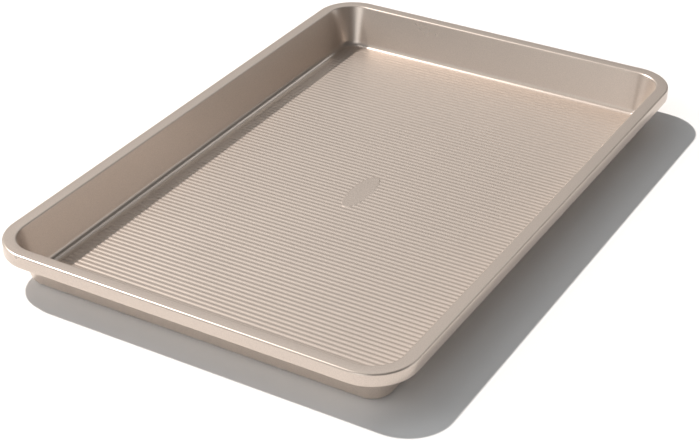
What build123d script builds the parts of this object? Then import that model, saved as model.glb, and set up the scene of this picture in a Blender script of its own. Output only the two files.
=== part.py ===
from build123d import *
import os
from math import atan2, cos, radians, tan

# Jelly roll pan: one drawn steel sheet with a square rolled rim and a ribbed floor, and the steel
# rod that the rolled rim holds. Millimetres, +Z up, X along the long sides. The origin is on the
# surface that the pan stands on, under the middle of the pan.

# Overall size, over the outside of the rolled rim
pan_length = 419.1
pan_width = 279.4
pan_height = 30.1
rim_corner_radius = 28.5

# Coated sheet steel
sheet_thickness = 0.8

# Rolled rim: a flange on top, an outer face, a hem under it and a lip that turns up inside
flange_width = 8.6  # from the outer face to where wall and flange would meet without their bend
flange_inner_bend = 1.5  # outside radius between flange and wall
flange_outer_bend = 1.2  # outside radius between flange and outer face
rim_depth = 8.9
lip_height = 3.6

# Rod in the rim, drawn with many sides to stay light, open at one butt joint
rod_diameter = 4.0
rod_side_count = 12
rod_clearance = 0.15
rod_butt_gap = 1.5

# Wall and cove
wall_flare = 15.0  # degrees from upright
cove_radius = 5.0  # inside radius between wall and floor

# Ribs pressed into the floor, running from one long side to the other
rib_count = 98
rib_height = 0.25
rib_crest_share = 0.25  # the flat top of a rib, and the flat between two, of the pitch
rib_margin = 1.3  # flat floor between the cove's edge and the ribs

# Plain oval pressed up at the middle of the floor
oval_length = 44.5
oval_width = 14.6
oval_rise = 0.1  # above the crests of the ribs

# Places and sizes that follow
flare = radians(wall_flare)
cove_run = cove_radius * tan((radians(90) - flare) / 2)
floor_top = sheet_thickness
wall_foot = flange_width + (pan_height - floor_top) * tan(flare)
flange_underside = pan_height - sheet_thickness
rim_underside = pan_height - rim_depth
hem_top = rim_underside + sheet_thickness
lip_top = rim_underside + lip_height
rod_inset = sheet_thickness + rod_clearance + rod_diameter / 2
rod_height = rim_underside + rod_inset
hem_width = 2 * rod_inset
lip_inset = hem_width - sheet_thickness
rib_field_inset = wall_foot + cove_run + rib_margin
rib_field_length = pan_length - 2 * rib_field_inset
rib_field_width = pan_width - 2 * rib_field_inset
rib_field_corner = rim_corner_radius - rib_field_inset
rib_pitch = rib_field_length / rib_count
oval_top = floor_top + rib_height + oval_rise


def at_corner(inset, height):
    """A point of a rim section, by its inset from the outer face, in the frame of a corner's centre."""
    return (rim_corner_radius - inset, 0, height)


def on_wall(height, depth=0):
    """Inset of the wall's shown side at a height, or of the line that lies a depth behind it."""
    return flange_width + (pan_height - height) * tan(flare) - depth / cos(flare)


def carried_round(section):
    """Carry a section round the pan: a quarter turn at each corner and a straight run along each side."""
    half_length = pan_length / 2 - rim_corner_radius
    half_width = pan_width / 2 - rim_corner_radius
    pieces = []
    for turn, x, y, run in (
        (0, half_length, half_width, 2 * half_width),
        (90, -half_length, half_width, 2 * half_length),
        (180, -half_length, -half_width, 2 * half_width),
        (270, half_length, -half_width, 2 * half_length),
    ):
        corner = Pos(x, y) * Rot(0, 0, turn)
        pieces.append(corner * revolve(section, Axis.Z, 90))
        pieces.append(corner * extrude(section, run, dir=(0, -1, 0)))
    return pieces


def sheet_section():
    """The bent sheet, from the edge of the ribs up the wall and over the rim to the lip's edge."""
    corners = (
        # the shown side, with its outside bends
        (rib_field_inset, floor_top, 0),
        (wall_foot, floor_top, cove_radius),
        (flange_width, pan_height, flange_inner_bend),
        (0, pan_height, flange_outer_bend),
        (0, rim_underside, sheet_thickness),
        (hem_width, rim_underside, sheet_thickness),
        (hem_width, lip_top, 0),
        # back inside the rim, where hem and lip are folded sharp and the flange's bends are flats
        (lip_inset, lip_top, 0),
        (lip_inset, hem_top, 0),
        (sheet_thickness, hem_top, 0),
        (sheet_thickness, pan_height - flange_outer_bend, 0),
        (flange_outer_bend, flange_underside, 0),
        (flange_width - flange_inner_bend, flange_underside, 0),
        (on_wall(pan_height - flange_inner_bend, sheet_thickness), pan_height - flange_inner_bend, 0),
        # and the outside of the wall and the cove
        (on_wall(0, sheet_thickness), 0, cove_radius + sheet_thickness),
        (rib_field_inset, 0, 0),
    )
    points = [at_corner(inset, height) for inset, height, bend in corners]
    bends = [bend for inset, height, bend in corners]
    return make_face(FilletPolyline(points, radius=bends, close=True))


def rib_section():
    """The ribbed sheet, cut across the ribs: flat crests and troughs with straight flanks between."""
    edge = rib_field_length / 2
    crest = rib_crest_share * rib_pitch / 2
    foot = rib_pitch / 2 - crest
    lean = atan2(rib_height, foot - crest)
    profile = ((-1, foot, 0), (-1, crest, rib_height), (1, crest, rib_height), (1, foot, 0))
    sides = []
    for depth, narrowing in ((0, 0), (sheet_thickness, sheet_thickness * tan(lean / 2))):
        height = floor_top - depth
        side = [(-edge, 0, height)]
        for index in range(rib_count):
            middle = (index + 0.5) * rib_pitch - edge
            for way, reach, rise in profile:
                side.append((middle + way * (reach - narrowing), 0, height + rise))
        sides.append(side + [(edge, 0, height)])
    shown_side, hidden_side = sides
    return make_face(Polyline(shown_side + hidden_side[::-1], close=True))


def make_floor():
    """The ribbed floor, cut to the field that the ribs fill, with the oval pressed up in its middle."""
    ribs = extrude(rib_section(), rib_field_width / 2, dir=(0, 1, 0), both=True)
    field = RectangleRounded(rib_field_length, rib_field_width, rib_field_corner)
    oval = Ellipse(oval_length / 2, oval_width / 2)
    ribs &= extrude(field, pan_height)
    ribs -= extrude(oval, pan_height)
    return ribs + Pos(0, 0, oval_top) * extrude(oval, -sheet_thickness)


def make_pan_shell():
    """The one sheet: rim, walls and coves all round, and the floor between them."""
    return make_floor() + carried_round(sheet_section())


def make_rim_rod():
    """The rod, bent to the rim's plan, with its butt joint in the middle of a long side."""
    middle = Plane(at_corner(rod_inset, rod_height), z_dir=(0, -1, 0))
    loop = Part() + carried_round(middle * RegularPolygon(rod_diameter / 2, rod_side_count))
    joint = Box(rod_butt_gap, 2 * rod_inset, 2 * rod_diameter)
    return loop - Pos(0, pan_width / 2 - rod_inset, rod_height) * joint


if __name__ == "__main__":
    os.makedirs("parts", exist_ok=True)
    for name, solid in (("pan_shell", make_pan_shell()), ("rim_rod", make_rim_rod())):
        export_step(solid, f"parts/{name}.step")
        print(name, len(solid.solids()), "solid", round(solid.volume, 1), "mm3", solid.is_valid)
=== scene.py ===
import math

import bmesh
import bpy
from mathutils import Matrix, Vector


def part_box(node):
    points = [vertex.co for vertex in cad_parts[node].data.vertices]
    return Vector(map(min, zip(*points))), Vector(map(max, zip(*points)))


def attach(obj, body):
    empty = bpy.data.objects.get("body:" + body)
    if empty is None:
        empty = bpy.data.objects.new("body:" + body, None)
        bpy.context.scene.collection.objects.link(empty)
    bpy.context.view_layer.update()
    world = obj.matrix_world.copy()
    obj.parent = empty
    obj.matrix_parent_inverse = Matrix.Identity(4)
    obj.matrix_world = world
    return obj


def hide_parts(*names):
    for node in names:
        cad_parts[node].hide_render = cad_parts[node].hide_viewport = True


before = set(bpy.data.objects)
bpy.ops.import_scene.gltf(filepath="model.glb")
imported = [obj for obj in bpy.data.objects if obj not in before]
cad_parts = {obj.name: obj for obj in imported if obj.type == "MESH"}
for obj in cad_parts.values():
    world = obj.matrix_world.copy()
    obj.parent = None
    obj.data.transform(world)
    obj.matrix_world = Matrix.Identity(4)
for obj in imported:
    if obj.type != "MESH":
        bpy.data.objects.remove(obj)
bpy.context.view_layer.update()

# The visual model of a jelly roll pan: a coated sheet-steel pan with fine rounded ribs, a plain
# raised oval and a rolled rim round a steel rod. Metres, in the frame of the CAD model.

mm = 0.001

# Sheet and rim, as in the solids
sheet_thickness = 0.8 * mm
rim_corner_radius = 28.5 * mm
flange_width = 8.6 * mm
flange_inner_bend = 1.5 * mm
flange_outer_bend = 1.2 * mm
rim_depth = 8.9 * mm
lip_height = 3.6 * mm
hem_bend = 1.1 * mm
wall_flare = math.radians(15)
cove_radius = 5.0 * mm

# Rod in the rim
rod_diameter = 4.0 * mm
rod_clearance = 0.15 * mm
rod_butt_gap = 1.5 * mm

# Ribs and oval
rib_count = 98
rib_height = 0.25 * mm
rib_margin = 1.3 * mm
rib_end_fade = 1.4 * mm
oval_length = 44.5 * mm
oval_width = 14.6 * mm
oval_rise = 0.1 * mm
oval_edge = 0.5 * mm

# How finely the meshes follow the form
samples_per_rib = 8
bend_step = math.radians(11)
fewest_bend_steps = 2
corner_station_count = 20
station_spacing = 8 * mm
rod_side_count = 24
sharp_edge = math.radians(50)  # edges that turn more than this stay crisp

# Rows of vertices across the floor: by the ribs' ends, in shares of the fade, then in shares of the
# way from the middle to the corners' centres, and evenly over the oval
end_row_shares = (0, 0.2, 0.4, 0.6, 0.8, 1.0, 1.3)
between_row_shares = (0.8, 0.4)
oval_row_spacing = 0.3 * mm
oval_rows_share = 0.6  # of the oval's width, to each side of its middle

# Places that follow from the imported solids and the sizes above
pan_low, pan_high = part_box("pan_shell")
half_length = pan_high.x
half_width = pan_high.y
pan_height = pan_high.z
corner_x = half_length - rim_corner_radius
corner_y = half_width - rim_corner_radius
floor_top = sheet_thickness
wall_foot = flange_width + (pan_height - floor_top) * math.tan(wall_flare)
cove_run = cove_radius * math.tan((math.pi / 2 - wall_flare) / 2)
cove_edge = wall_foot + cove_run
field_inset = cove_edge + rib_margin
field_corner_radius = rim_corner_radius - field_inset
rib_pitch = 2 * (half_length - field_inset) / rib_count
flange_underside = pan_height - sheet_thickness
rim_underside = pan_height - rim_depth
hem_top = rim_underside + sheet_thickness
lip_top = rim_underside + lip_height
rod_inset = sheet_thickness + rod_clearance + rod_diameter / 2
rod_height = rim_underside + rod_inset
hem_width = 2 * rod_inset
lip_inset = hem_width - sheet_thickness

# The photograph's camera, with the place of the rim's middle as the camera sees it
photo_width_px = 700
photo_focal_px = 1689.5
camera_azimuth = math.radians(-59.80)
camera_elevation = math.radians(31.35)
rim_centre_in_view = Vector((7.2, 44.1, -1098.9)) * mm

# Coating: a satin film full of metallic flakes, with a faint orange peel and slightly uneven gloss
flake_size = 0.6 * mm
flake_detail = 2  # octaves of noise
flake_dark = (0.58, 0.5, 0.437, 1)
flake_bright = (0.8, 0.69, 0.604, 1)
coating_metallic_share = 0.62
coating_peel_size = 1.1 * mm
coating_peel_detail = 2
coating_peel_depth = 0.004 * mm
coating_patch_size = 45 * mm
coating_patch_detail = 3
coating_smoothest = 0.26
coating_roughest = 0.31

# Rod: bright drawn steel with fine grain
steel_grain_size = 0.25 * mm
steel_grain_detail = 3
steel_dark = (0.5, 0.5, 0.49, 1)
steel_bright = (0.66, 0.66, 0.65, 1)
steel_grain_depth = 0.01 * mm
steel_smoothest = 0.25
steel_roughest = 0.45

# The studio: a wide matt floor just under the pan, one key lamp, and soft glows in a dim sky
studio_floor_reach = 12000 * mm
studio_floor_drop = 0.05 * mm
studio_floor_colour = (0.95, 0.95, 0.95, 1)
key_place = Vector((560, 3840, 4800)) * mm
key_size = 180 * mm
key_power = 418
key_colour = (1.0, 0.94, 0.9)
sky_colour = (0.97, 0.99, 1.0, 1)
sky_between_glows = 0.03
wide_glow = 24  # the power of the cosine by which a glow fades
narrow_glow = 200
sky_glows = (  # azimuth and elevation in degrees, fading and strength
    (60, 66, wide_glow, 0.3),
    (100, 64, narrow_glow, 3.2),
    (0, 45, wide_glow, 0.4),
    (-6, 41, narrow_glow, 2.4),
    (42, 48, wide_glow, 0.58),
    (180, 45, wide_glow, 0.72),
    (30, 26, wide_glow, 0.2),
    (120, 26, wide_glow, 3.2),
    (180, 26, wide_glow, 1.2),
    (180, 7, wide_glow, 1.6),
    (300, 7, wide_glow, 1.65),
)


def direction(azimuth, elevation):
    """The unit direction at an azimuth from +X and an elevation."""
    level = math.cos(elevation)
    return Vector((math.cos(azimuth) * level, math.sin(azimuth) * level, math.sin(elevation)))


def on_wall(height, depth=0):
    """Inset of the wall's shown side at a height, or of the line that lies a depth behind it."""
    shown = flange_width + (pan_height - height) * math.tan(wall_flare)
    return shown - depth / math.cos(wall_flare)


def rounded_outline(corners):
    """Points of an open outline whose corners (inset, height, radius) are rounded by arcs."""
    points = [Vector(corners[0][:2])]
    for before, corner, after in zip(corners, corners[1:], corners[2:]):
        at = Vector(corner[:2])
        backwards = (Vector(before[:2]) - at).normalized()
        onwards = (Vector(after[:2]) - at).normalized()
        turn = math.pi - backwards.angle(onwards)
        radius = corner[2]
        if radius == 0:
            points.append(at)
            continue
        reach = radius * math.tan(turn / 2)
        centre = at + (backwards + onwards).normalized() * math.hypot(radius, reach)
        start = at + backwards * reach - centre
        end = at + onwards * reach - centre
        steps = max(fewest_bend_steps, math.ceil(turn / bend_step))
        for step in range(steps + 1):
            angle = turn * step / steps
            arm = (start * math.sin(turn - angle) + end * math.sin(angle)) / math.sin(turn)
            points.append(centre + arm)
    points.append(Vector(corners[-1][:2]))
    return points


def sheet_outline():
    """The bent sheet in section, from the flat by the ribs over the rim and back underneath."""
    start = cove_edge + rib_margin / 2
    inside_bend = hem_bend - sheet_thickness
    wall_back = on_wall(flange_underside, sheet_thickness)
    corners = (
        (start, floor_top, 0),
        (wall_foot, floor_top, cove_radius),
        (flange_width, pan_height, flange_inner_bend),
        (0, pan_height, flange_outer_bend),
        (0, rim_underside, hem_bend),
        (hem_width, rim_underside, hem_bend),
        (hem_width, lip_top, 0),
        (lip_inset, lip_top, 0),
        (lip_inset, hem_top, inside_bend),
        (sheet_thickness, hem_top, inside_bend),
        (sheet_thickness, flange_underside, flange_outer_bend - sheet_thickness),
        (wall_back, flange_underside, flange_inner_bend - sheet_thickness),
        (on_wall(0, sheet_thickness), 0, cove_radius + sheet_thickness),
        (start, 0, 0),
    )
    return rounded_outline(corners)


def stations():
    """Places round the plan, counterclockwise from above: a base point and the way outwards from it.

    The base points lie on the rectangle through the corners' centres.
    """
    places = []
    sides = (
        (-corner_x, -corner_y, 180, corner_x * 2, Vector((1, 0))),
        (corner_x, -corner_y, 270, corner_y * 2, Vector((0, 1))),
        (corner_x, corner_y, 0, corner_x * 2, Vector((-1, 0))),
        (-corner_x, corner_y, 90, corner_y * 2, Vector((0, -1))),
    )
    for x, y, first_angle, run, along in sides:
        centre = Vector((x, y))
        for step in range(corner_station_count + 1):
            angle = math.radians(first_angle + 90 * step / corner_station_count)
            outward = Vector((math.cos(angle), math.sin(angle)))
            places.append((centre, outward))
        steps = round(run / station_spacing)
        for step in range(1, steps):
            places.append((centre + along * (run * step / steps), outward))
    return places


def swept(places, outline, closed_outline):
    """Vertices and faces of an outline of (inset, height) points carried round the stations."""
    vertices = []
    for base, outward in places:
        for inset, height in outline:
            flat = base + outward * (rim_corner_radius - inset)
            vertices.append((flat.x, flat.y, height))
    width = len(outline)
    faces = []
    for place in range(len(places)):
        here = place * width
        there = (place + 1) % len(places) * width
        for point in range(width if closed_outline else width - 1):
            after = (point + 1) % width
            faces.append((here + point, there + point, there + after, here + after))
    return vertices, faces


def smoothstep(low, high, value):
    """A share that goes smoothly from 0 at the low value to 1 at the high one."""
    share = min(max((value - low) / (high - low), 0), 1)
    return share * share * (3 - 2 * share)


def field_reach(x):
    """Half the width of the ribbed field at x, which has rounded corners."""
    past = max(abs(x) - corner_x, 0)
    return corner_y + math.sqrt(max(field_corner_radius**2 - past**2, 0))


def floor_rise(x, y):
    """Height of the shown floor above the flat by the ribs."""
    trough_share = math.cos(math.pi * x / rib_pitch) ** 2
    faded_share = smoothstep(0, rib_end_fade, field_reach(x) - abs(y))
    ribs = rib_height * (1 - trough_share) * faded_share
    # the oval's equation is 1 on its edge, and with its slope it tells the distance from the edge
    level = (2 * x / oval_length) ** 2 + (2 * y / oval_width) ** 2
    slope = 2 * math.hypot(4 * x / oval_length**2, 4 * y / oval_width**2)
    outside = (level - 1) / max(slope, 1 / oval_length)
    ribs_share = smoothstep(-oval_edge, 0, outside)
    return ribs * ribs_share + (rib_height + oval_rise) * (1 - ribs_share)


def floor_rows(reach):
    """Places of the floor's vertices across the pan, close together by the ribs' ends and the oval."""
    upper = [reach - rib_end_fade * share for share in end_row_shares]
    upper += [share * corner_y for share in between_row_shares]
    half_oval_rows = round(oval_rows_share * oval_width / oval_row_spacing)
    middle = [row * oval_row_spacing for row in range(-half_oval_rows, half_oval_rows + 1)]
    return [-y for y in upper] + middle + upper[::-1]


def floor_sheet(depth):
    """Vertices, faces and border of the ribbed floor's shown side, or of its underside."""
    column_count = rib_count * samples_per_rib
    columns = []
    for column in range(column_count + 1):
        x = (column / samples_per_rib - rib_count / 2) * rib_pitch
        rows = floor_rows(field_reach(x))
        columns.append([(x, y, floor_top + floor_rise(x, y) - depth) for y in rows])
    row_count = len(columns[0])
    vertices = [point for column in columns for point in column]
    faces = []
    for column in range(column_count):
        for row in range(row_count - 1):
            corner = column * row_count + row
            faces.append((corner, corner + row_count, corner + row_count + 1, corner + 1))
    border = [column * row_count for column in range(column_count)]
    border += [column_count * row_count + row for row in range(row_count - 1)]
    border += [column * row_count + row_count - 1 for column in range(column_count, 0, -1)]
    border += list(range(row_count - 1, 0, -1))
    return vertices, faces, border


def round_the_plan(x, y):
    """The share of the way round the plan at a point, counterclockwise from the first side's start.

    Every side counts as much as the corner after it.
    """
    sides = (
        (corner_x, corner_y, x, -y),
        (corner_y, corner_x, y, x),
        (corner_x, corner_y, -x, y),
        (corner_y, corner_x, -y, -x),
    )
    for number, (half_run, half_across, along, outward) in enumerate(sides):
        if outward >= half_across and abs(along) <= half_run:
            return (number + 0.5 * (along + half_run) / (2 * half_run)) / len(sides)
        if outward >= half_across and along > half_run:
            turn = math.atan2(along - half_run, outward - half_across)
            return (number + 0.5 + turn / math.pi) / len(sides)
    raise ValueError("the point lies inside the corners' centres")


def joined(vertices, outer, inner):
    """Triangles between two closed borders, both counterclockwise from above."""
    rings = []
    for border in (outer, inner):
        order = sorted(border, key=lambda index: round_the_plan(*vertices[index][:2]))
        places = [round_the_plan(*vertices[index][:2]) for index in order]
        rings.append((order + order[:1], places + [places[0] + 1]))
    (outer, outer_places), (inner, inner_places) = rings
    faces = []
    i = 0
    j = 0
    while i < len(outer) - 1 or j < len(inner) - 1:
        outer_next = i < len(outer) - 1 and (
            j == len(inner) - 1 or outer_places[i + 1] <= inner_places[j + 1]
        )
        if outer_next:
            faces.append((outer[i], outer[i + 1], inner[j]))
            i += 1
        else:
            faces.append((outer[i], inner[j + 1], inner[j]))
            j += 1
    return faces


def new_piece(name, vertices, faces):
    """A closed mesh object of the pan, its faces turned outwards and smooth between sharp edges."""
    mesh = bpy.data.meshes.new(name)
    mesh.from_pydata(vertices, [], faces)
    shape = bmesh.new()
    shape.from_mesh(mesh)
    bmesh.ops.recalc_face_normals(shape, faces=shape.faces)
    open_edges = [edge for edge in shape.edges if not edge.is_manifold]
    if open_edges:
        raise ValueError(f"{name} has {len(open_edges)} open edges")
    shape.to_mesh(mesh)
    shape.free()
    mesh.shade_smooth()
    mesh.set_sharp_from_angle(angle=sharp_edge)
    piece = bpy.data.objects.new(name, mesh)
    bpy.context.scene.collection.objects.link(piece)
    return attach(piece, "root")


def make_shell():
    """The pan's one sheet: rim, walls and coves, and the ribbed floor that they frame."""
    outline = sheet_outline()
    places = stations()
    vertices, faces = swept(places, outline, closed_outline=False)
    swept_count = len(vertices)
    width = len(outline)
    for depth, end in ((0, 0), (sheet_thickness, width - 1)):
        ring = list(range(end, swept_count, width))
        points, sheet, border = floor_sheet(depth)
        first = len(vertices)
        vertices += points
        faces += [tuple(index + first for index in face) for face in sheet]
        faces += joined(vertices, ring, [index + first for index in border])
    return new_piece("pan_shell_surface", vertices, faces)


def make_rod():
    """The rod in the rim, with its butt joint in the middle of a long side."""
    outline = []
    for side in range(rod_side_count):
        angle = 2 * math.pi * side / rod_side_count
        offset = Vector((math.cos(angle), math.sin(angle))) * rod_diameter / 2
        outline.append(Vector((rod_inset, rod_height)) + offset)
    half_gap = rod_butt_gap / 2
    outward = Vector((0, 1))
    start = (Vector((-half_gap, corner_y)), outward)
    end = (Vector((half_gap, corner_y)), outward)
    places = stations()
    past_gap = [base.y > 0 and base.x < -half_gap for base, way in places]
    first = past_gap.index(True)
    turned = places[first:] + places[:first]
    clear = [(base, way) for base, way in turned if base.y < 0 or abs(base.x) > half_gap]
    vertices, faces = swept([start] + clear + [end], outline, closed_outline=True)
    faces = faces[:-rod_side_count]
    last = len(vertices) - rod_side_count
    faces.append(tuple(range(rod_side_count)))
    faces.append(tuple(range(last, len(vertices))))
    return new_piece("rim_rod_surface", vertices, faces)


def material(name):
    """A new node material and its main shader."""
    made = bpy.data.materials.new(name)
    made.use_nodes = True
    return made, made.node_tree.nodes["Principled BSDF"]


def add_noise(tree, size, detail):
    """Noise fixed to the piece, with features of about a size, as a socket from 0 to 1."""
    place = tree.nodes.new("ShaderNodeTexCoord")
    noise = tree.nodes.new("ShaderNodeTexNoise")
    noise.inputs["Scale"].default_value = 1 / size
    noise.inputs["Detail"].default_value = detail
    tree.links.new(place.outputs["Object"], noise.inputs["Vector"])
    return noise.outputs["Fac"]


def blend_colour(tree, share, low, high, shader):
    """Let the shader's colour go from one tone to another by a share."""
    tones = tree.nodes.new("ShaderNodeMix")
    tones.data_type = "RGBA"
    tones.inputs["A"].default_value = low
    tones.inputs["B"].default_value = high
    tree.links.new(share, tones.inputs["Factor"])
    tree.links.new(tones.outputs["Result"], shader.inputs["Base Color"])


def vary_roughness(tree, share, low, high, shader):
    """Let the shader's roughness go from one value to another by a share."""
    spread = tree.nodes.new("ShaderNodeMapRange")
    spread.inputs["To Min"].default_value = low
    spread.inputs["To Max"].default_value = high
    tree.links.new(share, spread.inputs["Value"])
    tree.links.new(spread.outputs["Result"], shader.inputs["Roughness"])


def add_relief(tree, share, depth, shader):
    """A relief of a depth in the shader's surface."""
    bump = tree.nodes.new("ShaderNodeBump")
    bump.inputs["Distance"].default_value = depth
    tree.links.new(share, bump.inputs["Height"])
    tree.links.new(bump.outputs["Normal"], shader.inputs["Normal"])


def coating_material():
    """Satin champagne non-stick coating with fine flake."""
    made, shader = material("nonstick_coating")
    tree = made.node_tree
    shader.inputs["Metallic"].default_value = coating_metallic_share
    flake = add_noise(tree, flake_size, flake_detail)
    blend_colour(tree, flake, flake_dark, flake_bright, shader)
    patches = add_noise(tree, coating_patch_size, coating_patch_detail)
    vary_roughness(tree, patches, coating_smoothest, coating_roughest, shader)
    peel = add_noise(tree, coating_peel_size, coating_peel_detail)
    add_relief(tree, peel, coating_peel_depth, shader)
    return made


def steel_material():
    """Bright drawn steel."""
    made, shader = material("rod_steel")
    tree = made.node_tree
    shader.inputs["Metallic"].default_value = 1
    grain = add_noise(tree, steel_grain_size, steel_grain_detail)
    blend_colour(tree, grain, steel_dark, steel_bright, shader)
    vary_roughness(tree, grain, steel_smoothest, steel_roughest, shader)
    add_relief(tree, grain, steel_grain_depth, shader)
    return made


def add_floor():
    """The studio's floor, a plain matt square just under the pan."""
    mesh = bpy.data.meshes.new("studio_floor")
    ways = ((-1, -1), (1, -1), (1, 1), (-1, 1))
    corners = [Vector((x, y, 0)) * studio_floor_reach for x, y in ways]
    mesh.from_pydata(corners, [], [range(len(corners))])
    floor = bpy.data.objects.new("studio_floor", mesh)
    floor.location.z = -studio_floor_drop
    bpy.context.scene.collection.objects.link(floor)
    made, shader = material("studio_floor")
    shader.inputs["Base Color"].default_value = studio_floor_colour
    shader.inputs["Roughness"].default_value = 1
    shader.inputs["Specular IOR Level"].default_value = 0
    mesh.materials.append(made)


def add_key_lamp():
    """The key lamp, a small square that faces the pan."""
    data = bpy.data.lights.new("key", "AREA")
    data.shape = "SQUARE"
    data.size = key_size
    data.energy = key_power
    data.color = key_colour
    lamp = bpy.data.objects.new("key", data)
    lamp.location = key_place
    lamp.rotation_mode = "QUATERNION"
    lamp.rotation_quaternion = (-key_place).to_track_quat("-Z", "Y")
    bpy.context.scene.collection.objects.link(lamp)


def combined(tree, operation, first, second):
    """A maths node on two values, each a socket or a plain number, as a socket."""
    node = tree.nodes.new("ShaderNodeMath")
    node.operation = operation
    for value, socket in zip((first, second), node.inputs):
        if isinstance(value, bpy.types.NodeSocket):
            tree.links.new(value, socket)
        else:
            socket.default_value = value
    return node.outputs["Value"]


def add_glow(tree, azimuth, elevation, fading, strength):
    """A soft round glow of the sky in a direction, as a socket of its brightness."""
    place = tree.nodes.new("ShaderNodeTexCoord")
    facing = tree.nodes.new("ShaderNodeVectorMath")
    facing.operation = "DOT_PRODUCT"
    facing.inputs[1].default_value = direction(math.radians(azimuth), math.radians(elevation))
    tree.links.new(place.outputs["Generated"], facing.inputs[0])
    front = combined(tree, "MAXIMUM", facing.outputs["Value"], 0)
    faded = combined(tree, "POWER", front, fading)
    return combined(tree, "MULTIPLY", faded, strength)


def add_sky():
    """The studio round the pan: a dim even sky with soft glows in it."""
    world = bpy.data.worlds.new("studio")
    world.use_nodes = True
    tree = world.node_tree
    brightness = sky_between_glows
    for azimuth, elevation, fading, strength in sky_glows:
        glow = add_glow(tree, azimuth, elevation, fading, strength)
        brightness = combined(tree, "ADD", brightness, glow)
    background = tree.nodes["Background"]
    background.inputs["Color"].default_value = sky_colour
    tree.links.new(brightness, background.inputs["Strength"])
    bpy.context.scene.world = world


def add_camera():
    """The photograph's camera, with the middle of the rim at its place in the photograph."""
    back = direction(camera_azimuth - math.pi / 2, camera_elevation)
    right = Vector((math.cos(camera_azimuth), math.sin(camera_azimuth), 0))
    turn = Matrix((right, back.cross(right), back)).transposed()
    data = bpy.data.cameras.new("photo_camera")
    data.lens = photo_focal_px / photo_width_px * data.sensor_width
    camera = bpy.data.objects.new("photo_camera", data)
    camera.location = Vector((0, 0, pan_height)) - turn @ rim_centre_in_view
    camera.rotation_mode = "QUATERNION"
    camera.rotation_quaternion = turn.to_quaternion()
    bpy.context.scene.collection.objects.link(camera)
    bpy.context.scene.camera = camera


shell = make_shell()
shell.data.materials.append(coating_material())
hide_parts("pan_shell")
rod = make_rod()
rod.data.materials.append(steel_material())
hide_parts("rim_rod")

add_floor()
add_key_lamp()
add_sky()
add_camera()
bpy.context.scene.view_settings.view_transform = "Standard"
